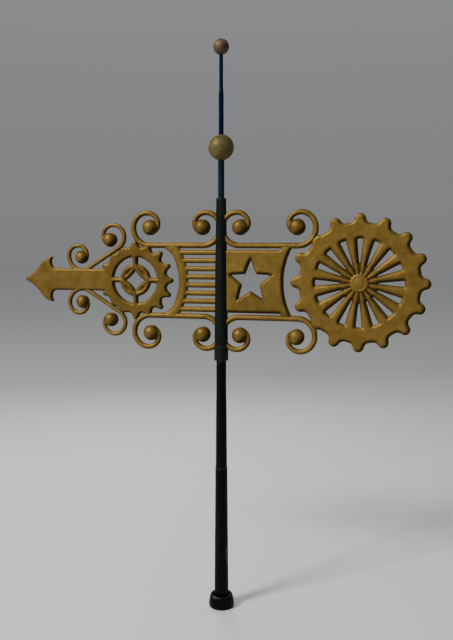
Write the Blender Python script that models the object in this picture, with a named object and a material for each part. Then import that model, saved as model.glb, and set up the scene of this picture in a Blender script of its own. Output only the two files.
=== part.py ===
"""A large wrought and cast weathervane that turns on a stepped, tapered mast.

Metres, +Z up. The origin is under the middle of the foot collar. The vane lies in the XZ plane,
its arrow at -X and its toothed wheel at +X, and turns about the Z axis on the mast's spindle.
Places on the vane are (x, z) with z counted from the vane's own middle line.
"""
import math

import bmesh
import bpy
from mathutils import Matrix, Vector

# Clearances
TOUCH_GAP = 0.0003
RUNNING_GAP = 0.001

# Roundness of the solids
MAST_SIDES = 16
BALL_SIDES = 16
BAR_SIDES = 8
KNOT_SIDES = 6
KNOT_CIRCLE_STEPS = 20
HOLE_SIDES = 26
CURL_STEP = math.radians(30)

# Mast: each section tapers evenly, and stands a small step inside the one below it
VANE_HEIGHT = 1.482
LOWER_MAST_TOP = 0.650
LOWER_MAST_FOOT_RADIUS = 0.0316
LOWER_MAST_TOP_RADIUS = 0.0270
MAST_STEP = 0.0017
UPPER_MAST_TOP_RADIUS = 0.0216
FOOT_HEIGHT = 0.058
FOOT_FLOOR = 0.012
FOOT_GROOVE_WIDTH = 0.003
FOOT_GROOVE_DEPTH = 0.006
FOOT_RIM_WALL = 0.0061
FOOT_FLARE = 0.0155
FOOT_EDGE = 0.004
FOOT_EDGE_HEIGHT = 0.007
SPINDLE_RADIUS = 0.01345
SPINDLE_SHOWS = 0.1624
LARGE_BALL_RADIUS = 0.055
ROD_RADIUS = 0.01065
ROD_LOWER_LENGTH = 0.150
ROD_SWAGE_LENGTH = 0.040
ROD_TIP_RADIUS = 0.0083
ROD_UPPER_LENGTH = 0.142
SMALL_BALL_RADIUS = 0.0335

# Frame: two pairs of round bars, above and below, that end in curls with a ball
FRAME_HALF_HEIGHT = 0.156
FRAME_BAR_RADIUS = 0.012
FRAME_REACH_TO_ARROW = 0.331
FRAME_REACH_TO_WHEEL = 0.339
FRAME_SEAT = 0.006
CURL_RADIUS = 0.0845
CURL_TIGHTEN = 0.017
CURL_TURN = math.radians(315)
CURL_TIP_RADIUS = 0.0095
CURL_BALL_RADIUS = 0.035
INNER_CURL_PAST_AXIS = 0.0058

# Sleeve: the tapered tube that carries the vane and turns on the spindle
SLEEVE_PAST_LOWER_CURLS = 0.023
SLEEVE_PAST_UPPER_CURLS = 0.034
SLEEVE_COLLAR_HEIGHT = 0.064
SLEEVE_COLLAR_LIP = 0.00145
SLEEVE_FOOT_RADIUS = 0.0298
SLEEVE_MIDDLE_RADIUS = 0.0270
SLEEVE_TOP_RADIUS = 0.0214

# Toothed ring with an open knot of round straps
RING_PAST_CURL = 0.067
RING_BELOW_BAR_CENTRE = 0.008
RING_TEETH = 16
RING_TOOTH_HEIGHT = 0.027
RING_JOINED_TOOTH_HEIGHT = 0.008
RING_TOOTH_HALF_WIDTH = 0.019
RING_BAND = 0.044
RING_THICKNESS = 0.024
RING_CHAMFER = 0.006
KNOT_STRAP_RADIUS = 0.009
KNOT_CIRCLE_RADIUS = 0.062
KNOT_WAIST_RADIUS = 0.038
KNOT_WEAVE = 0.0015

# Arrow: a flat plate with a barbed head
ARROW_REACH = 0.545
ARROW_NECK_FROM_TIP = 0.075
ARROW_NECK_HALF_HEIGHT = 0.055
ARROW_POINT_BOW = 0.004
ARROW_CHEEK_BOW = 0.011
ARROW_BARB_FROM_TIP = 0.145
ARROW_BARB_HALF_HEIGHT = 0.104
ARROW_BARB_BOW = 0.014
SHAFT_FROM_TIP = 0.152
SHAFT_HALF_HEIGHT = 0.049
ARROW_THICKNESS = 0.020
ARROW_CHAMFER = 0.005

# S-scrolls between the arrow's shaft and the toothed ring, above and below
SCROLL_BAR_RADIUS = 0.00875
SCROLL_TIP_RADIUS = 0.0075
SCROLL_CLIMB = math.radians(35.2)
SCROLL_OFF_RING = 0.0065
SCROLL_ALONG_RING = 0.0249
SCROLL_BEND_RADIUS = 0.060
SCROLL_LIES_ON_SHAFT = 0.0545
SCROLL_FRONT_RADIUS = 0.0514
SCROLL_FRONT_TIGHTEN = 0.0043
SCROLL_FRONT_TURN = math.radians(297)
SCROLL_FRONT_BALL_RADIUS = 0.030
SCROLL_REAR_RADIUS = 0.0578
SCROLL_REAR_TIGHTEN = 0.0054
SCROLL_REAR_TURN = math.radians(288)
SCROLL_REAR_BALL_RADIUS = 0.032

# Grille: a bowed post with level bars that run to the sleeve
POST_END_FROM_AXIS = 0.221
POST_BOW = 0.049
POST_HALF_WIDTH = 0.0215
POST_THICKNESS = 0.024
POST_CHAMFER = 0.006
SLAT_COUNT = 8
SLAT_EDGE_GAP = 0.0085
SLAT_HALF_HEIGHT = 0.0103
SLAT_HALF_DEPTH = 0.009

# Star panel: a plate with a star cut through it
PANEL_REACH = 0.311
PANEL_BOW = 0.037
PANEL_LINK_LENGTH = 0.048
PANEL_SLIT_HEIGHT = 0.008
PANEL_THICKNESS = 0.020
PANEL_CHAMFER = 0.004
STAR_FROM_AXIS = 0.132
STAR_POINTS = 5
STAR_TIP_RADIUS = 0.096
STAR_INNER_RADIUS = 0.0425

# Wheel: a toothed rim, ridged spokes and a domed hub, cast in one
WHEEL_OFF_CURL = 0.0032
WHEEL_TEETH = 16
WHEEL_ROOT_RADIUS = 0.253
WHEEL_TOOTH_HEIGHT = 0.036
WHEEL_JOINED_TOOTH_HEIGHT = 0.014
WHEEL_TOOTH_HALF_WIDTH = 0.025
WHEEL_RIM_BAND = 0.064
WHEEL_THICKNESS = 0.024
WHEEL_CHAMFER = 0.006
WINDOW_APEX_RADIUS = 0.066
WINDOW_HALF_WIDTH = 0.0125
SPOKE_RIDGE_DEPTH = 0.0115
SPOKE_EDGE_DEPTH = 0.006
SPOKE_ANCHOR = 0.010
HUB_RADIUS = 0.033
HUB_DEPTH = 0.019

# Shapes as shares: a tooth's height and half width from root to tip, a hub's radius and depth
KNOB_TOOTH = ((0.0, 1.0), (0.62, 0.86), (1.0, 0.30))
POINTED_TOOTH = ((0.0, 1.0), (0.45, 0.62), (1.0, 0.22))
HUB_DOME = ((0.55, 0.90), (1.0, 0.55))
TIP_IN_BALL = 0.65
CURL_EASE = 0.5

# How far a ball stands proud of its bar, how deep a cutter is, and how much further out than its
# flats a cutter's corners are
BALL_PROUD = 0.001
CUTTER_DEPTH = 0.1
CUTTER_CORNERS = 1.2

QUARTER_TURN = math.pi / 2


for old in list(bpy.data.objects):
    bpy.data.objects.remove(old, do_unlink=True)


def material(name, colour, roughness, metallic):
    made = bpy.data.materials.new(name)
    made.use_nodes = True
    shader = made.node_tree.nodes["Principled BSDF"]
    shader.inputs["Base Color"].default_value = (*colour, 1.0)
    shader.inputs["Roughness"].default_value = roughness
    shader.inputs["Metallic"].default_value = metallic
    return made


gilt = material("aged_gilt", (0.23, 0.13, 0.03), 0.45, 0.8)
dark_iron = material("dark_painted_iron", (0.012, 0.018, 0.016), 0.5, 0.2)
blue_iron = material("dark_blue_rod_paint", (0.01, 0.02, 0.045), 0.45, 0.2)
brass = material("worn_brass", (0.30, 0.19, 0.09), 0.4, 0.8)


def add_object(name, mesh, finish):
    made = bpy.data.objects.new(name, mesh)
    bpy.context.scene.collection.objects.link(made)
    mesh.materials.append(finish)
    return made


def mesh_object(name, shape, finish, smooth_angle=math.radians(40)):
    """Turns a bmesh into an object, with its faces pointing out."""
    bmesh.ops.remove_doubles(shape, verts=shape.verts, dist=0.000001)
    bmesh.ops.recalc_face_normals(shape, faces=shape.faces)
    mesh = bpy.data.meshes.new(name)
    shape.to_mesh(mesh)
    shape.free()
    mesh.shade_smooth()
    mesh.set_sharp_from_angle(angle=smooth_angle)
    return add_object(name, mesh, finish)


def as_tool(made):
    """A shape that only cuts or joins others."""
    made.hide_render = True
    made.display_type = "WIRE"
    return made


def combine(target, tool, operation):
    step = target.modifiers.new(operation.lower() + "_" + tool.name, "BOOLEAN")
    step.operation = operation
    step.solver = "EXACT"
    step.object = as_tool(tool)


def turned(name, profile, finish, closed=False, sides=MAST_SIDES):
    """A turned piece. The profile is (radius, z) down the outer side, top to bottom."""
    mesh = bpy.data.meshes.new(name)
    points = [(radius, 0.0, z) for radius, z in profile]
    edges = [(i, i + 1) for i in range(len(points) - 1)]
    if closed:
        edges.append((len(points) - 1, 0))
    mesh.from_pydata(points, edges, [])
    made = add_object(name, mesh, finish)
    lathe = made.modifiers.new("turning", "SCREW")
    lathe.steps = sides
    lathe.render_steps = sides
    lathe.use_merge_vertices = True
    lathe.merge_threshold = 0.00001
    lathe.use_smooth_shade = True
    return made


def vane_point(place, depth=0.0):
    """A point of the vane from its place (x, z) and its depth along Y."""
    return Vector((place[0], depth, place[1] + VANE_HEIGHT))


def on_circle(centre, radius, angle):
    return (centre[0] + radius * math.cos(angle), centre[1] + radius * math.sin(angle))


def circle_points(centre, radius, count):
    return [on_circle(centre, radius, 2 * math.pi * i / count) for i in range(count)]


def bowed(start, end, bow, steps):
    """Points on an arc from start to end that bows by this much to the left of the way there."""
    chord = Vector(end) - Vector(start)
    left = Vector((-chord[1], chord[0])).normalized()
    radius = (chord.length ** 2 / 4 + bow ** 2) / (2 * abs(bow))
    inward = math.copysign(radius - abs(bow), bow)
    centre = (Vector(start) + Vector(end)) / 2 - left * inward
    first = math.atan2(start[1] - centre[1], start[0] - centre[0])
    half_turn = math.asin(chord.length / 2 / radius)
    turn = -math.copysign(2 * half_turn, bow)
    return [on_circle(centre, radius, first + turn * i / steps) for i in range(steps + 1)]


def curl(centre, radius, start_angle, turn, tighten):
    """A curl that leaves its bar without a kink and tightens by about the same for each quarter."""
    steps = math.ceil(abs(turn) / CURL_STEP)
    points = []
    for i in range(steps + 1):
        angle = turn * i / steps
        quarters = abs(angle) / QUARTER_TURN
        shrink = tighten * quarters ** 2 / (quarters + CURL_EASE)
        points.append(on_circle(centre, radius - shrink, start_angle + angle))
    return points


def sweep(name, path, radii, finish, sides=BAR_SIDES, closed=False, depth=0.0):
    """A round bar along a path in the plane of the vane, or this far behind it."""
    shape = bmesh.new()
    rings = []
    count = len(path)
    for i, place in enumerate(path):
        before = path[(i - 1) % count] if closed or i > 0 else place
        after = path[(i + 1) % count] if closed or i < count - 1 else place
        along = (Vector(after) - Vector(before)).normalized()
        across = Vector((-along[1], 0.0, along[0]))
        ring = []
        for k in range(sides):
            angle = 2 * math.pi * (k + 0.5) / sides
            offset = across * math.cos(angle) + Vector((0.0, 1.0, 0.0)) * math.sin(angle)
            ring.append(shape.verts.new(vane_point(place, depth) + offset * radii[i]))
        rings.append(ring)
    last = count if closed else count - 1
    for i in range(last):
        first, second = rings[i], rings[(i + 1) % count]
        for k in range(sides):
            n = (k + 1) % sides
            shape.faces.new((first[k], first[n], second[n], second[k]))
    if not closed:
        shape.faces.new(rings[0])
        shape.faces.new(rings[-1])
    return mesh_object(name, shape, finish)


def plate(name, outline, holes, thickness, chamfer, finish):
    """A flat plate in the plane of the vane, with its edges chamfered front and back."""
    flat = bpy.data.curves.new(name, "CURVE")
    flat.dimensions = "2D"
    flat.fill_mode = "BOTH"
    flat.extrude = thickness / 2 - chamfer
    flat.bevel_depth = chamfer
    flat.bevel_resolution = 0
    flat.offset = -chamfer
    for loop in [outline] + holes:
        spline = flat.splines.new("POLY")
        spline.points.add(len(loop) - 1)
        for point, (x, z) in zip(spline.points, loop):
            point.co = (x, z, 0.0, 1.0)
        spline.use_cyclic_u = True
    guide = bpy.data.objects.new(name + "_outline", flat)
    bpy.context.scene.collection.objects.link(guide)
    bpy.context.view_layer.update()
    mesh = bpy.data.meshes.new_from_object(guide.evaluated_get(bpy.context.evaluated_depsgraph_get()))
    bpy.data.objects.remove(guide, do_unlink=True)
    shape = bmesh.new()
    shape.from_mesh(mesh)
    bpy.data.meshes.remove(mesh)
    upright = Matrix.Translation((0.0, 0.0, VANE_HEIGHT)) @ Matrix.Rotation(math.pi / 2, 4, "X")
    bmesh.ops.transform(shape, matrix=upright, verts=shape.verts)
    return mesh_object(name, shape, finish, math.radians(25))


def ball(name, place, radius, finish):
    """A ball with its poles front and back, so that its outline is even seen from the side."""
    shape = bmesh.new()
    upright = Matrix.Translation(vane_point(place)) @ Matrix.Rotation(math.pi / 2, 4, "X")
    bmesh.ops.create_uvsphere(shape, u_segments=10, v_segments=5, radius=radius, matrix=upright)
    return mesh_object(name, shape, finish)


def mirrored(path, side):
    """A path above the middle line, or below it where side is -1."""
    return [(x, z * side) for x, z in path]


def flipped(path, side):
    """A path on the arrow's side, or on the wheel's where side is -1."""
    return [(x * side, z) for x, z in path]


def tooth_at(direction, teeth):
    """The tooth nearest to this direction, counted from +X."""
    return round(direction / (2 * math.pi / teeth)) % teeth


def toothed_outline(centre_x, teeth, root, height, half_width, shape, joined, joined_height, missing, grow):
    """The outline of a toothed ring. Joined teeth are low where a bar runs over them."""
    points = []
    for tooth in range(teeth):
        angle = 2 * math.pi * tooth / teeth
        if tooth not in missing:
            tall = joined_height if tooth in joined else height
            flank = [(root + grow + tall * up, (half_width + grow) * wide) for up, wide in shape]
            tooth_points = [(r, -w) for r, w in flank] + [(r, w) for r, w in reversed(flank)]
            for r, w in tooth_points:
                points.append((centre_x + r * math.cos(angle) - w * math.sin(angle),
                               r * math.sin(angle) + w * math.cos(angle)))
        else:
            points.append(on_circle((centre_x, 0.0), root + grow, angle))
        points.append(on_circle((centre_x, 0.0), root + grow, angle + math.pi / teeth))
    return points


# Where things stand on each other
frame_curl_z = FRAME_HALF_HEIGHT + CURL_RADIUS
curls_end_z = frame_curl_z + CURL_RADIUS
sleeve_below = curls_end_z + SLEEVE_PAST_LOWER_CURLS
sleeve_above = curls_end_z + SLEEVE_PAST_UPPER_CURLS
inner_curl_x = CURL_RADIUS - INNER_CURL_PAST_AXIS
seat_z = FRAME_HALF_HEIGHT - FRAME_BAR_RADIUS + FRAME_SEAT
ring_x = -(FRAME_REACH_TO_ARROW + RING_PAST_CURL)
ring_root = FRAME_HALF_HEIGHT - RING_BELOW_BAR_CENTRE
ring_hole = ring_root - RING_BAND
wheel_from_curl = WHEEL_ROOT_RADIUS + WHEEL_OFF_CURL + FRAME_BAR_RADIUS + CURL_RADIUS
wheel_x = FRAME_REACH_TO_WHEEL + math.sqrt(wheel_from_curl ** 2 - frame_curl_z ** 2)
window_outer = WHEEL_ROOT_RADIUS - WHEEL_RIM_BAND

# Mast, from the ground up
shoulder_z = VANE_HEIGHT - sleeve_below - TOUCH_GAP
socket_radius = LOWER_MAST_FOOT_RADIUS + TOUCH_GAP
groove_radius = socket_radius + FOOT_GROOVE_WIDTH
groove_floor = FOOT_HEIGHT - FOOT_GROOVE_DEPTH
rim_radius = groove_radius + FOOT_RIM_WALL

foot_curve = []
for step in range(5):
    angle = QUARTER_TURN * step / 4
    foot_curve.append((rim_radius + FOOT_FLARE * math.sin(angle),
                       FOOT_EDGE_HEIGHT + (FOOT_HEIGHT - FOOT_EDGE_HEIGHT) * math.cos(angle)))
foot_socket = [
    (0.0, FOOT_FLOOR),
    (socket_radius, FOOT_FLOOR),
    (socket_radius, groove_floor),
    (groove_radius, groove_floor),
    (groove_radius, FOOT_HEIGHT),
]
foot_underside = [(rim_radius + FOOT_FLARE - FOOT_EDGE, 0.0), (0.0, 0.0)]
turned("foot_collar", foot_socket + foot_curve + foot_underside, dark_iron)

turned("lower_mast", [
    (0.0, LOWER_MAST_TOP),
    (LOWER_MAST_TOP_RADIUS, LOWER_MAST_TOP),
    (LOWER_MAST_FOOT_RADIUS, FOOT_HEIGHT),
    (LOWER_MAST_FOOT_RADIUS, FOOT_FLOOR + TOUCH_GAP),
    (0.0, FOOT_FLOOR + TOUCH_GAP),
], dark_iron)

turned("upper_mast", [
    (0.0, shoulder_z),
    (UPPER_MAST_TOP_RADIUS, shoulder_z),
    (LOWER_MAST_TOP_RADIUS - MAST_STEP, LOWER_MAST_TOP + TOUCH_GAP),
    (0.0, LOWER_MAST_TOP + TOUCH_GAP),
], dark_iron)


def mast_ball(name, underside, radius, rod_below, rod_above):
    """A ball on the rods, flat where a rod meets it. Returns the height of its upper flat."""
    top = math.asin(rod_above / radius)
    bottom = math.pi - math.asin(rod_below / radius)
    centre_z = underside - radius * math.cos(bottom)
    upper_flat = centre_z + radius * math.cos(top)
    profile = [(0.0, upper_flat)] if rod_above else []
    steps = BALL_SIDES // 2
    for step in range(steps + 1):
        angle = top + (bottom - top) * step / steps
        profile.append((radius * math.sin(angle), centre_z + radius * math.cos(angle)))
    profile.append((0.0, underside))
    turned(name, profile, brass, sides=BALL_SIDES)
    return upper_flat


spindle_top = VANE_HEIGHT + sleeve_above + SPINDLE_SHOWS
large_ball_top = mast_ball("large_ball", spindle_top + TOUCH_GAP, LARGE_BALL_RADIUS, SPINDLE_RADIUS,
                           ROD_RADIUS)
rod_foot = large_ball_top + TOUCH_GAP
swage_foot = rod_foot + ROD_LOWER_LENGTH
swage_top = swage_foot + ROD_SWAGE_LENGTH
rod_top = swage_top + ROD_UPPER_LENGTH
mast_ball("small_ball", rod_top + TOUCH_GAP, SMALL_BALL_RADIUS, ROD_TIP_RADIUS, 0.0)

turned("spindle", [
    (0.0, spindle_top),
    (SPINDLE_RADIUS, spindle_top),
    (SPINDLE_RADIUS, shoulder_z + TOUCH_GAP),
    (0.0, shoulder_z + TOUCH_GAP),
], blue_iron)

turned("top_rod", [
    (0.0, rod_top),
    (ROD_TIP_RADIUS, rod_top),
    (ROD_TIP_RADIUS, swage_top),
    (ROD_RADIUS, swage_foot),
    (ROD_RADIUS, rod_foot),
    (0.0, rod_foot),
], blue_iron)


# Sleeve
def sleeve_outside(grow):
    foot = VANE_HEIGHT - sleeve_below
    collar = foot + SLEEVE_COLLAR_HEIGHT
    return [
        (SLEEVE_TOP_RADIUS + grow, VANE_HEIGHT + sleeve_above),
        (SLEEVE_MIDDLE_RADIUS + grow, VANE_HEIGHT),
        (SLEEVE_FOOT_RADIUS + grow, collar),
        (SLEEVE_FOOT_RADIUS + SLEEVE_COLLAR_LIP + grow, collar),
        (SLEEVE_FOOT_RADIUS + SLEEVE_COLLAR_LIP + grow, foot),
    ]


bore = SPINDLE_RADIUS + RUNNING_GAP
sleeve_bore = [(bore, VANE_HEIGHT - sleeve_below), (bore, VANE_HEIGHT + sleeve_above)]
turned("sleeve", sleeve_outside(0.0) + sleeve_bore, dark_iron, closed=True)


def sleeve_clearance():
    """The sleeve's outside with the gap that the welded pieces keep to it."""
    outside = sleeve_outside(TOUCH_GAP)
    core = [(0.0, outside[0][1])] + outside + [(0.0, outside[-1][1])]
    return turned("sleeve_clearance", core, dark_iron)


sleeve_cutter = sleeve_clearance()


# Frame bars and the inner curls
def curl_ball_place(centre, path, tip_radius, ball_radius):
    """Where a ball sits so that its surface stands just proud of the end of its curl."""
    end = Vector(path[-1]) - Vector(centre)
    reach = end.length + tip_radius + BALL_PROUD - ball_radius
    place = Vector(centre) + end.normalized() * reach
    return (place[0], place[1])


def taper(count, full, tip, curled):
    """Radii along a bar: full size, then tapering over the curled points to its tip."""
    sizes = []
    for i in range(count):
        share = max(0.0, (i - (count - 1 - curled)) / curled)
        sizes.append(full + (tip - full) * share)
    sizes[-1] = tip * TIP_IN_BALL
    return sizes


def clearance_cutter(name, path, radii):
    """The bar again, larger by the gap that a piece joined to it keeps."""
    grown = [radius + TOUCH_GAP * CUTTER_CORNERS for radius in radii]
    return as_tool(sweep(name + "_clearance", path, grown, gilt))


def frame_bar(name, hand, side, reach):
    """A frame bar from inside the sleeve to its outer curl. hand is 1 on the arrow's side."""
    rise = curl((-inner_curl_x, frame_curl_z), CURL_RADIUS, -QUARTER_TURN, QUARTER_TURN, CURL_TIGHTEN)
    outer_centre = (-reach, frame_curl_z)
    scroll = curl(outer_centre, CURL_RADIUS, -QUARTER_TURN, -CURL_TURN, CURL_TIGHTEN)
    path = list(reversed(rise)) + scroll
    radii = taper(len(path), FRAME_BAR_RADIUS, CURL_TIP_RADIUS, len(scroll) - 1)
    place = curl_ball_place(outer_centre, path, CURL_TIP_RADIUS, CURL_BALL_RADIUS)
    path = mirrored(flipped(path, hand), side)
    place = mirrored(flipped([place], hand), side)[0]
    made = sweep(name, path, radii, gilt)
    combine(made, ball(name + "_ball", place, CURL_BALL_RADIUS, gilt), "UNION")
    combine(made, sleeve_cutter, "DIFFERENCE")
    return clearance_cutter(name, path, radii)


def inner_curl(name, hand, side):
    """The curl beside the sleeve, welded to it where the full scroll would pass through."""
    centre = (-inner_curl_x, frame_curl_z)
    whole = curl(centre, CURL_RADIUS, -QUARTER_TURN, CURL_TURN, CURL_TIGHTEN)
    path = whole[round(len(whole) * QUARTER_TURN / CURL_TURN):]
    radii = taper(len(path), FRAME_BAR_RADIUS, CURL_TIP_RADIUS, len(path) - 1)
    place = curl_ball_place(centre, path, CURL_TIP_RADIUS, CURL_BALL_RADIUS)
    path = mirrored(flipped(path, hand), side)
    place = mirrored(flipped([place], hand), side)[0]
    made = sweep(name, path, radii, gilt)
    combine(made, ball(name + "_ball", place, CURL_BALL_RADIUS, gilt), "UNION")
    combine(made, sleeve_cutter, "DIFFERENCE")


frame_cutters = {}
for level, side in (("upper", 1), ("lower", -1)):
    for end, hand, reach in (("arrow", 1, FRAME_REACH_TO_ARROW), ("wheel", -1, FRAME_REACH_TO_WHEEL)):
        frame_cutters[level, end] = frame_bar(f"frame_bar_{level}_{end}", hand, side, reach)
        inner_curl(f"inner_curl_{level}_{end}", hand, side)


# S-scrolls
def s_scroll(name, side):
    """From the front ball along the shaft, up past the ring and round to the rear ball."""
    along = Vector((math.cos(SCROLL_CLIMB), math.sin(SCROLL_CLIMB)))
    above = Vector((-along[1], along[0]))
    line = Vector((ring_x, 0.0)) + above * (ring_root + SCROLL_OFF_RING + SCROLL_BAR_RADIUS)
    rear_centre = line + above * SCROLL_REAR_RADIUS + along * SCROLL_ALONG_RING
    line_z = SHAFT_HALF_HEIGHT + TOUCH_GAP + SCROLL_BAR_RADIUS
    bend_z = line_z + SCROLL_BEND_RADIUS
    bend_x = line[0] + ((bend_z - line[1]) * along[0] - SCROLL_BEND_RADIUS) / along[1]
    bend = [on_circle((bend_x, bend_z), SCROLL_BEND_RADIUS, SCROLL_CLIMB * i / 2 - QUARTER_TURN)
            for i in range(3)]
    front_centre = (bend_x - SCROLL_LIES_ON_SHAFT, line_z + SCROLL_FRONT_RADIUS)
    front = curl(front_centre, SCROLL_FRONT_RADIUS, -QUARTER_TURN, -SCROLL_FRONT_TURN, SCROLL_FRONT_TIGHTEN)
    rear = curl(rear_centre, SCROLL_REAR_RADIUS, SCROLL_CLIMB - QUARTER_TURN, SCROLL_REAR_TURN,
                SCROLL_REAR_TIGHTEN)
    path = list(reversed(front)) + bend + rear
    front_sizes = taper(len(front), SCROLL_BAR_RADIUS, SCROLL_TIP_RADIUS, len(front) - 1)
    rear_sizes = taper(len(rear), SCROLL_BAR_RADIUS, SCROLL_TIP_RADIUS, len(rear) - 1)
    radii = list(reversed(front_sizes)) + [SCROLL_BAR_RADIUS] * len(bend) + rear_sizes
    front_ball = curl_ball_place(front_centre, front, SCROLL_TIP_RADIUS, SCROLL_FRONT_BALL_RADIUS)
    rear_ball = curl_ball_place(rear_centre, rear, SCROLL_TIP_RADIUS, SCROLL_REAR_BALL_RADIUS)
    path = mirrored(path, side)
    made = sweep(name, path, radii, gilt)
    for word, place, radius in (("front", front_ball, SCROLL_FRONT_BALL_RADIUS),
                                ("rear", rear_ball, SCROLL_REAR_BALL_RADIUS)):
        tip = ball(f"{name}_{word}_ball", mirrored([place], side)[0], radius, gilt)
        combine(made, tip, "UNION")
    return clearance_cutter(name, path, radii)


scroll_cutters = [s_scroll("s_scroll_upper", 1), s_scroll("s_scroll_lower", -1)]


# Arrow
def ring_outline(grow):
    """The toothed ring's outline, with low teeth under the scrolls and none under the shaft."""
    scrolled = [math.pi - turn for turn in (SCROLL_CLIMB + math.pi / 16, SCROLL_CLIMB + math.pi * 3 / 16)]
    joined = [tooth_at(direction * side, RING_TEETH) for direction in scrolled for side in (1, -1)]
    return toothed_outline(ring_x, RING_TEETH, ring_root, RING_TOOTH_HEIGHT, RING_TOOTH_HALF_WIDTH,
                           POINTED_TOOTH, joined, RING_JOINED_TOOTH_HEIGHT, [tooth_at(math.pi, RING_TEETH)],
                           grow)


tip_x = ring_x - ARROW_REACH
neck = (tip_x + ARROW_NECK_FROM_TIP, ARROW_NECK_HALF_HEIGHT)
barb = (tip_x + ARROW_BARB_FROM_TIP, ARROW_BARB_HALF_HEIGHT)
shaft_start = (tip_x + SHAFT_FROM_TIP, SHAFT_HALF_HEIGHT)
head = bowed((tip_x, 0.0), neck, -ARROW_POINT_BOW, 2)
head += bowed(neck, barb, ARROW_CHEEK_BOW, 4)[1:]
head += bowed(barb, shaft_start, -ARROW_BARB_BOW, 4)[1:]
upper_edge = head + [(ring_x - ring_hole, SHAFT_HALF_HEIGHT)]
lower_edge = [(x, -z) for x, z in reversed(upper_edge[1:])]
arrow = plate("arrow", upper_edge + lower_edge, [], ARROW_THICKNESS, ARROW_CHAMFER, gilt)
ring_cutter = plate("ring_clearance", ring_outline(TOUCH_GAP), [], CUTTER_DEPTH, 0.0, gilt)
combine(arrow, ring_cutter, "DIFFERENCE")

# Toothed ring with its knot
ring_centre = (ring_x, 0.0)
hole_points = circle_points(ring_centre, ring_hole, HOLE_SIDES)
ring = plate("toothed_ring", ring_outline(0.0), [hole_points], RING_THICKNESS, RING_CHAMFER, gilt)
circle_path = circle_points(ring_centre, KNOT_CIRCLE_RADIUS, KNOT_CIRCLE_STEPS)
circle_radii = [KNOT_STRAP_RADIUS] * KNOT_CIRCLE_STEPS
combine(ring, sweep("knot_circle", circle_path, circle_radii, gilt, KNOT_SIDES, closed=True), "UNION")
knot_reach = ring_hole + KNOT_STRAP_RADIUS
knot_bow = knot_reach / math.sqrt(2) - KNOT_WAIST_RADIUS
for quarter in range(4):
    start = on_circle(ring_centre, knot_reach, QUARTER_TURN * quarter)
    end = on_circle(ring_centre, knot_reach, QUARTER_TURN * (quarter + 1))
    strap_path = bowed(start, end, knot_bow, 7)
    strap_radii = [KNOT_STRAP_RADIUS] * len(strap_path)
    lean = KNOT_WEAVE if quarter % 2 else -KNOT_WEAVE
    strap = sweep(f"knot_strap_{quarter}", strap_path, strap_radii, gilt, KNOT_SIDES, depth=lean)
    combine(ring, strap, "UNION")
for cutter in scroll_cutters + [frame_cutters["upper", "arrow"], frame_cutters["lower", "arrow"]]:
    combine(ring, cutter, "DIFFERENCE")

# Grille
post_left = -POST_END_FROM_AXIS - POST_HALF_WIDTH
post_right = -POST_END_FROM_AXIS + POST_HALF_WIDTH
post_edges = bowed((post_left, seat_z), (post_left, -seat_z), POST_BOW, 8)
post_edges += bowed((post_right, -seat_z), (post_right, seat_z), -POST_BOW, 8)
grille = plate("grille", post_edges, [], POST_THICKNESS, POST_CHAMFER, gilt)


def slats(name):
    """The level bars, from the middle of the post to inside the sleeve."""
    shape = bmesh.new()
    bow_radius = (seat_z ** 2 + POST_BOW ** 2) / (2 * POST_BOW)
    end_z = FRAME_HALF_HEIGHT - FRAME_BAR_RADIUS - SLAT_EDGE_GAP - SLAT_HALF_HEIGHT
    for row in range(SLAT_COUNT):
        z = end_z * (2 * row / (SLAT_COUNT - 1) - 1)
        start_x = POST_BOW - POST_END_FROM_AXIS - bow_radius + math.sqrt(bow_radius ** 2 - z ** 2)
        ends = []
        for x in (start_x, 0.0):
            ring = []
            for k in range(BAR_SIDES):
                angle = 2 * math.pi * (k + 0.5) / BAR_SIDES
                rise = SLAT_HALF_HEIGHT * math.cos(angle) / math.cos(math.pi / BAR_SIDES)
                depth = SLAT_HALF_DEPTH * math.sin(angle)
                ring.append(shape.verts.new(vane_point((x, z + rise), depth)))
            ends.append(ring)
            shape.faces.new(ring)
        for k in range(BAR_SIDES):
            n = (k + 1) % BAR_SIDES
            shape.faces.new((ends[0][k], ends[0][n], ends[1][n], ends[1][k]))
    return mesh_object(name, shape, gilt)


combine(grille, slats("slats"), "UNION")
for cutter in (frame_cutters["upper", "arrow"], frame_cutters["lower", "arrow"], sleeve_cutter):
    combine(grille, cutter, "DIFFERENCE")

# Star panel
panel_top = FRAME_HALF_HEIGHT - FRAME_BAR_RADIUS - PANEL_SLIT_HEIGHT
link_x = PANEL_REACH - PANEL_LINK_LENGTH
panel_outline = [(0.0, -panel_top), (link_x, -panel_top), (link_x, -seat_z)]
panel_outline += bowed((PANEL_REACH, -seat_z), (PANEL_REACH, seat_z), PANEL_BOW, 8)
panel_outline += [(link_x, seat_z), (link_x, panel_top), (0.0, panel_top)]
star = []
for corner in range(2 * STAR_POINTS):
    reach = STAR_INNER_RADIUS if corner % 2 else STAR_TIP_RADIUS
    star.append(on_circle((STAR_FROM_AXIS, 0.0), reach, QUARTER_TURN + math.pi * corner / STAR_POINTS))
panel = plate("star_panel", panel_outline, [star], PANEL_THICKNESS, PANEL_CHAMFER, gilt)
for cutter in (frame_cutters["upper", "wheel"], frame_cutters["lower", "wheel"], sleeve_cutter):
    combine(panel, cutter, "DIFFERENCE")


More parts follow.
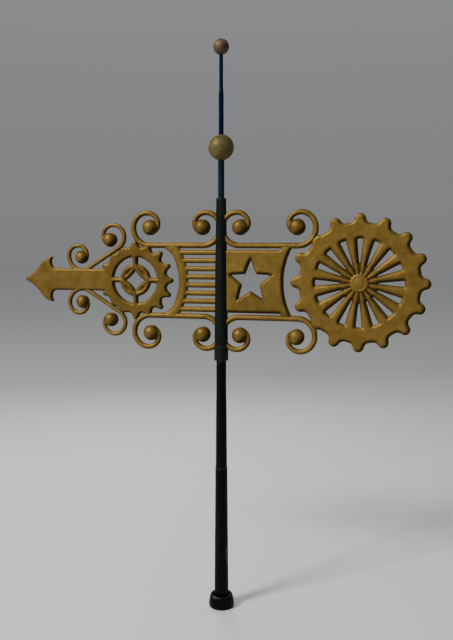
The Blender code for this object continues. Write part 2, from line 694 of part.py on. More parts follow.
# Wheel
def wheel_middle(name):
    """The hub and the ridged spokes, open between them, as far as a little way into the rim."""
    shape = bmesh.new()
    outer = window_outer + SPOKE_ANCHOR
    half_pitch = math.pi / WHEEL_TEETH

    def both_faces(radius, angle, depth):
        place = on_circle((wheel_x, 0.0), radius, angle)
        return [shape.verts.new(vane_point(place, -depth)), shape.verts.new(vane_point(place, depth))]

    def quads(*corners):
        for face in (0, 1):
            shape.faces.new([corner[face] for corner in corners])

    def wall(first, second):
        shape.faces.new((first[0], second[0], second[1], first[1]))

    pole = both_faces(0.0, 0.0, HUB_DEPTH)
    rings = []
    for out, deep in HUB_DOME:
        rings.append([both_faces(HUB_RADIUS * out, half_pitch * k, HUB_DEPTH * deep)
                      for k in range(2 * WHEEL_TEETH)])
    apex = []
    for k in range(2 * WHEEL_TEETH):
        depth = SPOKE_RIDGE_DEPTH if k % 2 else SPOKE_EDGE_DEPTH
        apex.append(both_faces(WINDOW_APEX_RADIUS, half_pitch * k, depth))
    spread = math.asin(WINDOW_HALF_WIDTH / window_outer)
    for k in range(2 * WHEEL_TEETH):
        n = (k + 1) % (2 * WHEEL_TEETH)
        quads(pole, rings[0][k], rings[0][n])
        quads(rings[0][k], rings[1][k], rings[1][n], rings[0][n])
        quads(rings[1][k], apex[k], apex[n], rings[1][n])
    for window in range(0, 2 * WHEEL_TEETH, 2):
        angle = half_pitch * window
        following = (window + 2) % (2 * WHEEL_TEETH)
        near = both_faces(outer, angle + spread, SPOKE_EDGE_DEPTH)
        ridge = both_faces(outer, angle + half_pitch, SPOKE_RIDGE_DEPTH)
        far = both_faces(outer, angle + 2 * half_pitch - spread, SPOKE_EDGE_DEPTH)
        quads(apex[window], near, ridge, apex[window + 1])
        quads(apex[window + 1], ridge, far, apex[following])
        wall(apex[window], near)
        wall(near, ridge)
        wall(ridge, far)
        wall(far, apex[following])
    return mesh_object(name, shape, gilt)


curl_direction = math.atan2(frame_curl_z, FRAME_REACH_TO_WHEEL - wheel_x)
wheel_joined = [tooth_at(curl_direction * side, WHEEL_TEETH) for side in (1, -1)]
wheel_outline = toothed_outline(wheel_x, WHEEL_TEETH, WHEEL_ROOT_RADIUS, WHEEL_TOOTH_HEIGHT,
                                WHEEL_TOOTH_HALF_WIDTH, KNOB_TOOTH, wheel_joined,
                                WHEEL_JOINED_TOOTH_HEIGHT, [], 0.0)
rim_hole = circle_points((wheel_x, 0.0), window_outer, 2 * WHEEL_TEETH)
wheel = plate("wheel", wheel_outline, [rim_hole], WHEEL_THICKNESS, WHEEL_CHAMFER, gilt)
combine(wheel, wheel_middle("wheel_middle"), "UNION")
for cutter in (frame_cutters["upper", "wheel"], frame_cutters["lower", "wheel"]):
    combine(wheel, cutter, "DIFFERENCE")
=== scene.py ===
import math

import bpy
import numpy as np
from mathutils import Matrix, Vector
from mathutils.kdtree import KDTree


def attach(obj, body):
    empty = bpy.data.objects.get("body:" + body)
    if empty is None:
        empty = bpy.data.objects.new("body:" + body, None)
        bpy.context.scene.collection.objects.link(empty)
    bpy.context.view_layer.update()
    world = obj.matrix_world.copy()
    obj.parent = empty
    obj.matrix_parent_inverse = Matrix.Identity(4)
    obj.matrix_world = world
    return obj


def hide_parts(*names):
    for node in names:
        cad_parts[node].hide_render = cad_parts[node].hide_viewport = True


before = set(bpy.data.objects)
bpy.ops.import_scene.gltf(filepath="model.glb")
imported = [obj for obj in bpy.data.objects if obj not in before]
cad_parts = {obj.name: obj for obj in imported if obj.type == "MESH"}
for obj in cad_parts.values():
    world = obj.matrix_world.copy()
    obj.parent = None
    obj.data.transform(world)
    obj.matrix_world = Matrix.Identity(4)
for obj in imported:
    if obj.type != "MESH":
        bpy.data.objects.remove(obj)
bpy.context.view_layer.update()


def pick_nothing():
    """Selects nothing, so that the next operators act on their own piece alone."""
    if bpy.context.object and bpy.context.object.mode != "OBJECT":
        bpy.ops.object.mode_set(mode="OBJECT")
    bpy.ops.object.select_all(action="DESELECT")


pick_nothing()
bpy.ops.object.camera_add(location=(0.860, -3.264, 1.672))
camera = bpy.context.object
camera.name = "photograph_view"
camera.rotation_euler = Vector((-0.2468, 0.9632, -0.1061)).to_track_quat("-Z", "Y").to_euler()
camera.data.lens = 43.456
camera.data.sensor_width = 36.0
bpy.context.scene.camera = camera


def soft_light(name, place, aim, size, power, colour):
    """A large square lamp that faces the vane."""
    pick_nothing()
    bpy.ops.object.light_add(type="AREA", location=place)
    lamp = bpy.context.object
    lamp.name = name
    lamp.rotation_euler = (Vector(aim) - Vector(place)).to_track_quat("-Z", "Y").to_euler()
    lamp.data.size = size
    lamp.data.energy = power
    lamp.data.color = colour


soft_light("key_light", (-4.6, -5.4, 7.0), (0.0, 0.0, 1.5), 2.0, 960.0, (1.0, 0.96, 0.90))
soft_light("side_light", (3.8, -1.6, 2.2), (0.0, 0.0, 1.4), 1.8, 8.0, (0.92, 0.96, 1.0))
soft_light("back_light", (-1.5, 3.2, 3.6), (0.0, 0.0, 1.4), 2.0, 95.0, (0.90, 0.95, 1.0))


def node(tree, kind, place, **settings):
    """A shader node with its settings."""
    made = tree.nodes.new(kind)
    made.location = place
    for key, value in settings.items():
        setattr(made, key, value)
    return made


def ramp(tree, place, value, stops):
    """Colours or greys along a value."""
    made = node(tree, "ShaderNodeValToRGB", place)
    while len(made.color_ramp.elements) < len(stops):
        made.color_ramp.elements.new(0.5)
    for stop, (at, colour) in zip(made.color_ramp.elements, stops):
        stop.position = at
        stop.color = (*colour, 1.0) if isinstance(colour, tuple) else (colour, colour, colour, 1.0)
    tree.links.new(value, made.inputs["Fac"])
    return made.outputs["Color"]


surround = bpy.data.worlds.new("pale_surround")
surround.use_nodes = True
sky = surround.node_tree
around = node(sky, "ShaderNodeSeparateXYZ", (-600, 0))
sky.links.new(node(sky, "ShaderNodeTexCoord", (-800, 0)).outputs["Generated"], around.inputs["Vector"])
sky.links.new(ramp(sky, (-400, 0), around.outputs["Z"], [
    (0.0, (0.222, 0.226, 0.230)), (0.16, (0.236, 0.243, 0.252)), (0.60, (0.320, 0.332, 0.345))]),
    sky.nodes["Background"].inputs["Color"])
sky.nodes["Background"].inputs["Strength"].default_value = 1.0
bpy.context.scene.world = surround

pick_nothing()
bpy.ops.mesh.primitive_plane_add(size=80.0, location=(0.0, 0.0, 0.0))
floor = bpy.context.object
floor.name = "studio_floor"
floor_finish = bpy.data.materials.new("pale_studio_floor")
floor_finish.use_nodes = True
floor_shader = floor_finish.node_tree.nodes["Principled BSDF"]
floor_shader.inputs["Base Color"].default_value = (0.68, 0.68, 0.67, 1.0)
floor_shader.inputs["Roughness"].default_value = 0.9
floor_shader.inputs["Specular IOR Level"].default_value = 0.15
floor.data.materials.append(floor_finish)


# Foot collar: a heavy cast iron cup that the mast stands in, with an open groove round the mast.
# It is turned from a circle drawn up, over the rim and down into its socket, then painted black.
def turned(name, profile, sides=64):
    """A round piece, drawn up from a disc ring by ring. The profile is (radius, height)."""
    pick_nothing()
    radius, height = profile[0]
    bpy.ops.mesh.primitive_circle_add(vertices=sides, radius=radius, fill_type="NGON",
                                      location=(0.0, 0.0, height))
    made = bpy.context.object
    made.name = name
    bpy.ops.object.transform_apply(location=True, rotation=True, scale=True)
    bpy.ops.object.mode_set(mode="EDIT")
    for wide, high in profile[1:]:
        bpy.ops.mesh.extrude_region_move(TRANSFORM_OT_translate={"value": (0.0, 0.0, high - height)})
        share = wide / radius
        bpy.ops.transform.resize(value=(share, share, 1.0), center_override=(0.0, 0.0, high))
        radius, height = wide, high
    bpy.ops.mesh.select_all(action="SELECT")
    bpy.ops.mesh.normals_make_consistent(inside=False)
    bpy.ops.object.mode_set(mode="OBJECT")
    return made


def ease_edges(piece, width, segments=3, angle=30.0):
    """Rounds the sharp edges a little, as casting, turning and paint do."""
    bpy.ops.object.modifier_add(type="BEVEL")
    ease = piece.modifiers[-1]
    ease.width = width
    ease.segments = segments
    ease.limit_method = "ANGLE"
    ease.angle_limit = math.radians(angle)
    bpy.ops.object.modifier_apply(modifier=ease.name)
    bpy.ops.object.shade_smooth_by_angle(angle=math.radians(40.0))


def noise(tree, place, where, scale, detail, rough=0.55):
    """A noise pattern on the piece's own coordinates."""
    made = node(tree, "ShaderNodeTexNoise", place)
    made.inputs["Scale"].default_value = scale
    made.inputs["Detail"].default_value = detail
    made.inputs["Roughness"].default_value = rough
    tree.links.new(where, made.inputs["Vector"])
    return made.outputs["Fac"]


def mixed(tree, place, share, first, second):
    """One colour laid over another by a share, which is a number or a pattern."""
    made = node(tree, "ShaderNodeMix", place, data_type="RGBA")
    if isinstance(share, float):
        made.inputs["Factor"].default_value = share
    else:
        tree.links.new(share, made.inputs["Factor"])
    for socket, colour in ((made.inputs["A"], first), (made.inputs["B"], second)):
        if isinstance(colour, tuple):
            socket.default_value = (*colour, 1.0)
        else:
            tree.links.new(colour, socket)
    return made.outputs["Result"]


def relief(tree, place, height, strength, distance, under=None):
    """A bump from a pattern, on top of another bump."""
    made = node(tree, "ShaderNodeBump", place)
    made.inputs["Strength"].default_value = strength
    made.inputs["Distance"].default_value = distance
    tree.links.new(height, made.inputs["Height"])
    if under is not None:
        tree.links.new(under, made.inputs["Normal"])
    return made.outputs["Normal"]


def old_paint(name, dark, light, chip_and_highlight_colour, glint):
    """Old dark paint on iron or steel: uneven, with fine chips and rubbed edges."""
    finish = bpy.data.materials.new(name)
    finish.use_nodes = True
    tree = finish.node_tree
    shader = tree.nodes["Principled BSDF"]
    shader.inputs["Metallic"].default_value = 0.0
    shader.inputs["Specular IOR Level"].default_value = glint
    where = node(tree, "ShaderNodeTexCoord", (-1500, 0)).outputs["Object"]
    stretched = node(tree, "ShaderNodeMapping", (-1300, 200))
    stretched.inputs["Scale"].default_value = (1.0, 1.0, 0.16)
    tree.links.new(where, stretched.inputs["Vector"])
    streaks = noise(tree, (-1100, 300), stretched.outputs["Vector"], 42.0, 5.0)
    clouds = noise(tree, (-1100, 0), where, 14.0, 4.0)
    specks = noise(tree, (-1100, -300), where, 210.0, 3.0, 0.65)
    body = mixed(tree, (-500, 300), ramp(tree, (-800, 300), streaks, [(0.35, 0.0), (0.70, 1.0)]),
                 dark, light)
    chips = node(tree, "ShaderNodeMath", (-700, -100), operation="MULTIPLY")
    tree.links.new(ramp(tree, (-900, -100), clouds, [(0.54, 0.0), (0.64, 1.0)]), chips.inputs[0])
    tree.links.new(ramp(tree, (-900, -300), specks, [(0.60, 0.0), (0.66, 1.0)]), chips.inputs[1])
    # Bare patches from the piece's marks: worn paint, and painted highlights on the foot's lip.
    wear_and_highlight = node(tree, "ShaderNodeAttribute", (-900, -500), attribute_name="wear_and_highlight")
    edge = node(tree, "ShaderNodeNewGeometry", (-900, -700)).outputs["Pointiness"]
    rubbed = ramp(tree, (-700, -700), edge, [(0.53, 0.0), (0.60, 0.7)])
    chips_wear_and_highlight = node(tree, "ShaderNodeMath", (-450, -200), operation="MAXIMUM")
    tree.links.new(chips.outputs[0], chips_wear_and_highlight.inputs[0])
    tree.links.new(wear_and_highlight.outputs["Fac"], chips_wear_and_highlight.inputs[1])
    bare_and_highlight = node(tree, "ShaderNodeMath", (-300, -300), operation="MAXIMUM")
    tree.links.new(chips_wear_and_highlight.outputs[0], bare_and_highlight.inputs[0])
    tree.links.new(rubbed, bare_and_highlight.inputs[1])
    tree.links.new(mixed(tree, (-200, 200), bare_and_highlight.outputs[0], body, chip_and_highlight_colour), shader.inputs["Base Color"])
    tree.links.new(ramp(tree, (-500, 0), clouds, [(0.30, 0.38), (0.70, 0.58)]), shader.inputs["Roughness"])
    coarse = relief(tree, (-400, -500), streaks, 0.25, 0.0007)
    tree.links.new(relief(tree, (-200, -500), specks, 0.12, 0.0003, coarse), shader.inputs["Normal"])
    return finish


def mesh_places(piece):
    """Where the points of a piece's mesh lie, one row for each."""
    places = np.empty(len(piece.data.vertices) * 3)
    piece.data.vertices.foreach_get("co", places)
    return places.reshape(-1, 3)


def wear_and_highlights_at(piece, spots):
    """Marks bare patches on a piece, for wear and for painted highlights: (place, reach, length along the
    mast, amount).
    """
    places = mesh_places(piece)
    fades_out = 1.4
    wear_and_highlight = np.zeros(len(places))
    for place, reach, tall, amount in spots:
        away = (places - np.array(place)) / np.array((reach, reach, tall))
        wear_and_highlight = np.maximum(wear_and_highlight, amount * np.clip(fades_out - np.linalg.norm(away, axis=1), 0.0, 1.0))
    piece.data.attributes.new("wear_and_highlight", "FLOAT", "POINT").data.foreach_set("value", wear_and_highlight)


black_paint = old_paint("old_black_paint", (0.0004, 0.0010, 0.0007), (0.0014, 0.0026, 0.0020),
                        (0.060, 0.064, 0.058), 0.08)

foot_collar = turned("foot_collar_casting", [
    (0.0500, 0.0000), (0.0540, 0.0015), (0.0562, 0.0060), (0.0570, 0.0120), (0.0566, 0.0200),
    (0.0555, 0.0290), (0.0540, 0.0380), (0.0521, 0.0470), (0.0500, 0.0540), (0.0478, 0.0572),
    (0.0452, 0.0580), (0.0420, 0.0572), (0.0380, 0.0545), (0.0352, 0.0510), (0.0321, 0.0500),
    (0.0319, 0.0120)])
ease_edges(foot_collar, 0.0010, 2, 42.0)
# Bare patches on the rim: worn paint, and painted highlights where the front of the lip catches the light.
wear_and_highlights_at(foot_collar, [((-0.019, -0.043, 0.0565), 0.012, 0.005, 1.0),
                      ((0.001, -0.049, 0.0555), 0.005, 0.003, 0.6),
                      ((0.030, -0.038, 0.050), 0.005, 0.004, 0.35),
                      ((-0.040, 0.030, 0.054), 0.008, 0.004, 0.7)])
foot_collar.data.materials.append(black_paint)
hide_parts("foot_collar")
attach(foot_collar, "mast")


# Lower and upper mast: two lengths of tapered iron pipe, the upper one a little thinner and let into
# the lower. The paint has lifted in a long flake on the wheel's side of the lower one.
def divided_pipe(profile, step):
    """The same pipe with more rings, so that wear and dents have somewhere to lie."""
    rings = [profile[0]]
    for (wide, low), (next_wide, high) in zip(profile, profile[1:]):
        count = max(1, round(abs(high - low) / step))
        for i in range(1, count + 1):
            rings.append((wide + (next_wide - wide) * i / count, low + (high - low) * i / count))
    return rings


def dented(piece, size, depth):
    """Shallow dents and swellings of an old hand-worked surface."""
    lumps = bpy.data.textures.new(piece.name + "_lumps", "CLOUDS")
    lumps.noise_scale = size
    lumps.noise_depth = 1
    bpy.ops.object.modifier_add(type="DISPLACE")
    dents = piece.modifiers[-1]
    dents.texture = lumps
    dents.texture_coords = "GLOBAL"
    dents.strength = depth
    dents.mid_level = 0.5
    bpy.ops.object.modifier_apply(modifier=dents.name)


lower_mast = turned("lower_mast_pipe", divided_pipe(
    [(0.0316, 0.0123), (0.0316, 0.058), (0.0270, 0.6496), (0.0262, 0.650)], 0.012))
dented(lower_mast, 0.09, 0.0009)
bpy.ops.object.shade_smooth_by_angle(angle=math.radians(40.0))
wear_and_highlights_at(lower_mast, [((0.0265, -0.013, 0.268), 0.006, 0.018, 0.9),
                     ((0.0285, -0.010, 0.230), 0.005, 0.024, 1.0),
                     ((0.0265, -0.010, 0.440), 0.003, 0.005, 0.6),
                     ((0.0255, -0.011, 0.517), 0.003, 0.006, 0.6),
                     ((0.0250, -0.011, 0.559), 0.003, 0.007, 0.6),
                     ((0.0248, -0.011, 0.600), 0.003, 0.005, 0.5)])
lower_mast.data.materials.append(black_paint)
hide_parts("lower_mast")
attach(lower_mast, "mast")

upper_mast = turned("upper_mast_pipe", divided_pipe(
    [(0.0246, 0.6480), (0.0253, 0.6503), (0.0233, 0.9560), (0.0224, 0.9575), (0.0216, 1.1337)], 0.012))
dented(upper_mast, 0.09, 0.0007)
bpy.ops.object.shade_smooth_by_angle(angle=math.radians(40.0))
wear_and_highlights_at(upper_mast, [((0.0216, -0.008, 0.945), 0.003, 0.006, 0.5),
                     ((0.0205, -0.007, 1.118), 0.004, 0.003, 0.5)])
upper_mast.data.materials.append(black_paint)
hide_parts("upper_mast")
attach(upper_mast, "mast")

# Spindle and top rod: solid steel rods. The vane turns on the spindle, and the top rod is swaged
# down to a thinner one on its way to the small ball. Both are in dark paint, tinted teal on the
# spindle and blue on the top rod as a painted reflection of the sky.
blue_reflection_paint = old_paint("dark_paint_blue_reflection", (0.0007, 0.0044, 0.0250), (0.0014, 0.0070, 0.0350),
                       (0.0018, 0.0075, 0.036), 0.035)
teal_reflection_paint = old_paint("dark_paint_teal_reflection", (0.0012, 0.0120, 0.0175), (0.0024, 0.0175, 0.0245),
                        (0.020, 0.042, 0.050), 0.08)
spindle = turned("spindle_rod", divided_pipe([(0.01345, 1.1340), (0.01345, 2.0034)], 0.012), 48)
dented(spindle, 0.05, 0.0003)
bpy.ops.object.shade_smooth_by_angle(angle=math.radians(40.0))
spindle.data.materials.append(teal_reflection_paint)
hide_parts("spindle")
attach(spindle, "mast")

top_rod = turned("top_rod_bar", divided_pipe([
    (0.01065, 2.1105), (0.01065, 2.2613), (0.01035, 2.2860), (0.0092, 2.2960), (0.0083, 2.3013),
    (0.0083, 2.4440)], 0.008), 48)
dented(top_rod, 0.05, 0.0003)
bpy.ops.object.shade_smooth_by_angle(angle=math.radians(40.0))
top_rod.data.materials.append(blue_reflection_paint)
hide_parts("top_rod")
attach(top_rod, "mast")


# The two finial balls: hollow brass, each beaten up from two cups and soldered, threaded on the rods.
# Years outdoors have dulled the large one to olive and left the small one warmer.
def aged_metal(name, colours, tarnish_and_shade_colour, rough, shine, patch, sides):
    """Aged gilding or brass: softly mottled and stained, with painted shade on its sides (deepest where
    they face down and along +x), darker hollows and the piece's own dark marks.
    """
    finish = bpy.data.materials.new(name)
    finish.use_nodes = True
    tree = finish.node_tree
    shader = tree.nodes["Principled BSDF"]
    shader.inputs["Metallic"].default_value = shine
    shader.inputs["Specular IOR Level"].default_value = 0.20
    shader.inputs["Specular Tint"].default_value = (0.50, 0.36, 0.20, 1.0)
    coordinates = node(tree, "ShaderNodeTexCoord", (-1900, 0))
    where = coordinates.outputs["Object"]
    patches = noise(tree, (-1500, 500), where, patch, 4.0, 0.55)
    mottle = noise(tree, (-1500, 200), where, patch * 5.0, 4.0, 0.6)
    grain = noise(tree, (-1500, -200), where, 260.0, 3.0, 0.6)
    elsewhere = node(tree, "ShaderNodeMapping", (-1700, 700))
    elsewhere.inputs["Location"].default_value = (3.1, 1.7, 5.2)
    tree.links.new(where, elsewhere.inputs["Vector"])
    stains = noise(tree, (-1500, 750), elsewhere.outputs["Vector"], patch * 1.6, 5.0, 0.6)
    low, middle, high = colours
    ground = ramp(tree, (-1200, 500), patches, [(0.34, low), (0.50, middle), (0.66, high)])
    fleck = ramp(tree, (-1200, 200), mottle, [(0.34, tuple(c * 0.80 for c in low)), (0.50, middle),
                                              (0.68, tuple(c * 1.12 for c in high))])
    surface = mixed(tree, (-850, 400), 0.38, ground, fleck)
    redder = tuple(c * k for c, k in zip(middle, (1.02, 0.74, 0.62)))
    stained = mixed(tree, (-650, 400), ramp(tree, (-1000, 750), stains, [(0.53, 0.0), (0.70, 0.50)]),
                    surface, redder)
    # Painted shade: surfaces turned sideways from the faces are darkened, and those facing down and along
    # +x, away from the key light, most of all.
    facing = node(tree, "ShaderNodeSeparateXYZ", (-1500, -500))
    tree.links.new(coordinates.outputs["Normal"], facing.inputs["Vector"])
    turned_away = node(tree, "ShaderNodeMath", (-1300, -500), operation="ABSOLUTE")
    tree.links.new(facing.outputs["Y"], turned_away.inputs[0])
    edges = ramp(tree, (-950, -500), turned_away.outputs[0], [(0.30, sides * 0.60), (0.90, 0.0)])
    facing_away_from_key = node(tree, "ShaderNodeVectorMath", (-1500, -1000), operation="DOT_PRODUCT")
    tree.links.new(coordinates.outputs["Normal"], facing_away_from_key.inputs[0])
    facing_away_from_key.inputs[1].default_value = (0.30, 0.0, -0.40)
    shade_side = node(tree, "ShaderNodeMath", (-1300, -1000), operation="ADD")
    shade_side.inputs[1].default_value = 0.5
    tree.links.new(facing_away_from_key.outputs["Value"], shade_side.inputs[0])
    painted_side_shade = node(tree, "ShaderNodeMath", (-800, -600), operation="MAXIMUM")
    tree.links.new(edges, painted_side_shade.inputs[0])
    tree.links.new(ramp(tree, (-1100, -1000), shade_side.outputs[0], [(0.55, 0.0), (0.80, sides)]),
                   painted_side_shade.inputs[1])
    # Darker in the hollows, by pointiness.
    point = node(tree, "ShaderNodeNewGeometry", (-1200, -800)).outputs["Pointiness"]
    sunk = ramp(tree, (-950, -800), point, [(0.440, 0.80), (0.495, 0.0)])
    shade_and_hollows = node(tree, "ShaderNodeMath", (-650, -650), operation="MAXIMUM")
    tree.links.new(painted_side_shade.outputs[0], shade_and_hollows.inputs[0])
    tree.links.new(sunk, shade_and_hollows.inputs[1])
    broken = node(tree, "ShaderNodeMath", (-450, -650), operation="MULTIPLY")
    tree.links.new(shade_and_hollows.outputs[0], broken.inputs[0])
    tree.links.new(ramp(tree, (-650, -900), mottle, [(0.30, 1.0), (0.66, 0.78)]), broken.inputs[1])
    # The piece's own marks darken it further: real tarnishing, and painted shade.
    dark = node(tree, "ShaderNodeAttribute", (-650, -1100), attribute_name="tarnish_and_shade")
    darkest = node(tree, "ShaderNodeMath", (-250, -650), operation="MAXIMUM")
    tree.links.new(broken.outputs[0], darkest.inputs[0])
    tree.links.new(dark.outputs["Fac"], darkest.inputs[1])
    tree.links.new(mixed(tree, (-150, 300), darkest.outputs[0], stained, tarnish_and_shade_colour),
                   shader.inputs["Base Color"])
    tree.links.new(ramp(tree, (-500, -50), mottle, [(0.34, rough[0]), (0.68, rough[1])]),
                   shader.inputs["Roughness"])
    deep = relief(tree, (-400, -300), patches, 0.22, 0.0030)
    fine = relief(tree, (-250, -400), mottle, 0.30, 0.0012, deep)
    tree.links.new(relief(tree, (-100, -500), grain, 0.14, 0.0003, fine), shader.inputs["Normal"])
    return finish


olive_brass = aged_metal("olive_brass",
                         ((0.078, 0.076, 0.036), (0.140, 0.116, 0.048), (0.215, 0.160, 0.060)),
                         (0.030, 0.028, 0.014), (0.50, 0.64), 0.55, 13.0, 0.45)
warm_brass = aged_metal("warm_brass", ((0.078, 0.040, 0.042), (0.140, 0.084, 0.054), (0.225, 0.148, 0.072)),
                        (0.032, 0.017, 0.020), (0.48, 0.62), 0.55, 19.0, 0.55)


def finial_ball(name, radius, height, rod_below, rod_above, finish):
    """A slightly dented ball, flattened at each end where a rod enters it."""
    pick_nothing()
    bpy.ops.mesh.primitive_uv_sphere_add(segments=48, ring_count=32, radius=radius,
                                         location=(0.0, 0.0, height))
    made = bpy.context.object
    made.name = name
    bpy.ops.object.transform_apply(location=True, rotation=True, scale=True)
    for rod, side in ((rod_below, -1.0), (rod_above, 1.0)):
        if not rod:
            continue
        bpy.ops.object.mode_set(mode="EDIT")
        bpy.ops.mesh.select_all(action="DESELECT")
        bpy.ops.object.mode_set(mode="OBJECT")
        flat = height + side * math.sqrt(radius ** 2 - rod ** 2)
        for face in made.data.polygons:
            face.select = (face.center.z - height) * side > radius * 0.955
        bpy.ops.object.mode_set(mode="EDIT")
        bpy.ops.transform.resize(value=(1.0, 1.0, 0.0), center_override=(0.0, 0.0, flat))
        bpy.ops.object.mode_set(mode="OBJECT")
    dented(made, radius * 0.55, radius * 0.028)
    bpy.ops.object.shade_smooth()
    made.data.materials.append(finish)
    return made


large_ball = finial_ball("large_finial_ball", 0.055, 2.0570, 0.01345, 0.01065, olive_brass)
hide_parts("large_ball")
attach(large_ball, "mast")

small_ball = finial_ball("small_finial_ball", 0.0335, 2.4761, 0.0083, 0.0, warm_brass)
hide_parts("small_ball")
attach(small_ball, "mast")

# Sleeve: the tapered iron tube that carries the vane, open from end to end for the spindle, with a
# broad collar at its foot where it rides on the mast's shoulder.
sleeve = turned("sleeve_tube", divided_pipe([(0.01445, 1.1340), (0.03125, 1.1340)], 0.5)
                + divided_pipe([(0.03125, 1.1340), (0.03125, 1.1980)], 0.012)[1:]
                + divided_pipe([(0.0298, 1.1980), (0.0270, 1.4820), (0.0214, 1.8410)], 0.012)
                + [(0.01445, 1.8410)])
bpy.ops.object.mode_set(mode="EDIT")
bpy.ops.mesh.select_all(action="DESELECT")
bpy.ops.object.mode_set(mode="OBJECT")
for face in sleeve.data.polygons:
    face.select = len(face.vertices) > 4
bpy.ops.object.mode_set(mode="EDIT")
bpy.ops.mesh.bridge_edge_loops()
bpy.ops.mesh.select_all(action="SELECT")
bpy.ops.mesh.normals_make_consistent(inside=False)
bpy.ops.object.mode_set(mode="OBJECT")
ease_edges(sleeve, 0.0010, 2)
sleeve_paint = old_paint("old_sleeve_paint", (0.0026, 0.0052, 0.0038), (0.0072, 0.0124, 0.0092),
                         (0.050, 0.056, 0.050), 0.10)
wear_and_highlights_at(sleeve, [((0.0285, -0.012, 1.140), 0.006, 0.004, 0.5),
                 ((-0.020, -0.022, 1.196), 0.005, 0.003, 0.4)])
sleeve.data.materials.append(sleeve_paint)
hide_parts("sleeve")
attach(sleeve, "vane")

# Frame bars: four round bars that leave the sleeve, run level above and below the panels and end in
# a large curl with a ball. They are bent and drawn down by hand, then gilded.
VANE_HEIGHT = 1.482
QUARTER_TURN = math.pi / 2
gilding = aged_metal("aged_gilding", ((0.158, 0.100, 0.023), (0.192, 0.123, 0.029), (0.226, 0.148, 0.037)),
                     (0.018, 0.010, 0.003), (0.46, 0.60), 0.65, 7.0, 0.96)


def on_circle(centre, radius, angle):
    return (centre[0] + radius * math.cos(angle), centre[1] + radius * math.sin(angle))


def curl(centre, radius, start_angle, turn, tighten):
    """A curl that leaves its bar without a kink and tightens by about the same for each quarter."""
    steps = math.ceil(abs(turn) / math.radians(7.5))
    points = []
    for i in range(steps + 1):
        quarters = abs(turn) * i / steps / QUARTER_TURN
        shrink = tighten * quarters ** 2 / (quarters + 0.5)
        points.append(on_circle(centre, radius - shrink, start_angle + turn * i / steps))
    return points


def drawn_bar(name, path, radii, depths=None, sides=20):
    """A bar drawn along (x, z) places in the plane of the vane, one short extrusion at a time."""
    places = [Vector((x, 0.0, z + VANE_HEIGHT)) for x, z in path]
    headings = []
    for i in range(len(places)):
        along = places[min(i + 1, len(places) - 1)] - places[max(i - 1, 0)]
        headings.append(math.atan2(along.z, along.x))
    depths = depths or radii
    pick_nothing()
    bpy.ops.mesh.primitive_circle_add(vertices=sides, radius=radii[0], fill_type="NGON", location=places[0],
                                      rotation=(0.0, QUARTER_TURN - headings[0], 0.0))
    made = bpy.context.object
    made.name = name
    bpy.ops.object.transform_apply(location=True, rotation=True, scale=True)
    bpy.ops.object.mode_set(mode="EDIT")
    bpy.ops.mesh.select_all(action="SELECT")
    bpy.ops.transform.resize(value=(1.0, depths[0] / radii[0], 1.0), center_override=places[0])
    for i in range(1, len(places)):
        bpy.ops.mesh.extrude_region_move(TRANSFORM_OT_translate={"value": places[i] - places[i - 1]})
        turn = (headings[i] - headings[i - 1] + math.pi) % (2 * math.pi) - math.pi
        if abs(turn) > 1e-6:
            bpy.ops.transform.rotate(value=turn, orient_axis="Y", center_override=places[i])
        wide, deep = radii[i] / radii[i - 1], depths[i] / depths[i - 1]
        if abs(wide - 1.0) > 1e-6 or abs(deep - 1.0) > 1e-6:
            bpy.ops.transform.resize(value=(wide, deep, wide), center_override=places[i])
    bpy.ops.mesh.select_all(action="SELECT")
    bpy.ops.mesh.normals_make_consistent(inside=False)
    bpy.ops.object.mode_set(mode="OBJECT")
    return made


def add_ball(place, radius):
    pick_nothing()
    bpy.ops.mesh.primitive_uv_sphere_add(segments=32, ring_count=20, radius=radius,
                                         location=(place[0], 0.0, place[1] + VANE_HEIGHT))
    bpy.ops.object.transform_apply(location=True, rotation=True, scale=True)
    return bpy.context.object


def joined(name, parts):
    """Makes one object of several, ready to be fused."""
    pick_nothing()
    for part in parts:
        part.select_set(True)
    bpy.context.view_layer.objects.active = parts[0]
    bpy.ops.object.join()
    parts[0].name = name
    return parts[0]


def cut_away(piece, tool):
    """Cuts a piece with another, which is then thrown away."""
    pick_nothing()
    bpy.context.view_layer.objects.active = piece
    piece.select_set(True)
    bpy.ops.object.modifier_add(type="BOOLEAN")
    cut = piece.modifiers[-1]
    cut.operation = "DIFFERENCE"
    cut.use_self = True
    cut.object = tool
    bpy.ops.object.modifier_apply(modifier=cut.name)
    bpy.data.objects.remove(tool, do_unlink=True)


def clear_of_spindle(piece):
    """Ends a piece inside the wall of the sleeve, to which it is welded."""
    inside_wall = 0.0185
    pick_nothing()
    bpy.ops.mesh.primitive_cylinder_add(vertices=48, radius=inside_wall, depth=0.9,
                                        location=(0.0, 0.0, VANE_HEIGHT))
    cut_away(piece, bpy.context.object)


def fused(piece, grain, passes, lumps=0.0011, swell=0.0006):
    """Fuses what was joined, with the soft fillets and edges of a casting or a forge weld."""
    pick_nothing()
    bpy.context.view_layer.objects.active = piece
    piece.select_set(True)
    bpy.ops.object.modifier_add(type="REMESH")
    skin = piece.modifiers[-1]
    skin.mode = "VOXEL"
    skin.voxel_size = grain
    bpy.ops.object.modifier_apply(modifier=skin.name)
    bpy.ops.object.modifier_add(type="SMOOTH")
    soften = piece.modifiers[-1]
    soften.factor = 0.5
    soften.iterations = passes
    bpy.ops.object.modifier_apply(modifier=soften.name)
    bpy.ops.object.modifier_add(type="DISPLACE")
    swollen = piece.modifiers[-1]
    swollen.strength = swell
    swollen.mid_level = 0.0
    bpy.ops.object.modifier_apply(modifier=swollen.name)
    dented(piece, 0.028, lumps)
    bpy.ops.object.shade_smooth()
    return piece


